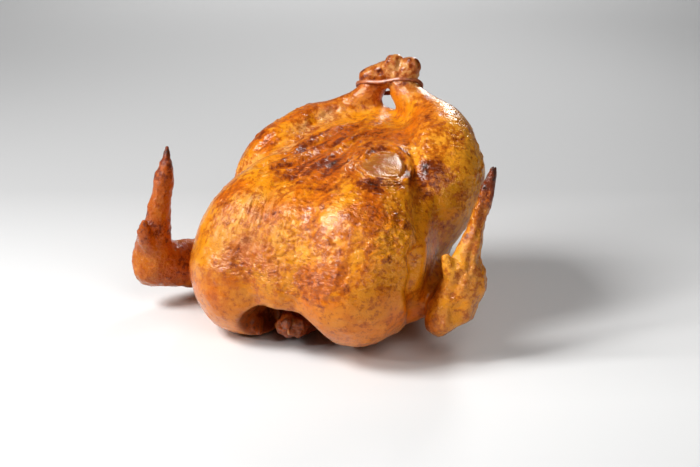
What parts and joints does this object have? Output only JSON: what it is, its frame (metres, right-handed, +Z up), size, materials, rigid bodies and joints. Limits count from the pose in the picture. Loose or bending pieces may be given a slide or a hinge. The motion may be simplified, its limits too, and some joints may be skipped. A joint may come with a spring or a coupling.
{
  "type": "roast chicken",
  "caption": "Whole roast chicken lying on its back, breast up, wings spread with raised tips and drumstick ends held together by an elastic trussing loop.",
  "frame": {"origin": "middle of the bounding box's floor side, on the surface the bird rests on", "axes": "+Z up through the breast, -Y towards the neck end, +Y towards the tail, +X towards the bird's own left side as it lies on its back"},
  "size_m": [0.2346, 0.1968, 0.1526],
  "materials": {
    "roast_skin": "glossy, basted",
    "elastic_band": "satin"
  },
  "bodies": {
    "root": {"roast_chicken": "roast_skin", "trussing_loop": "elastic_band"}
  },
  "joints": []
}
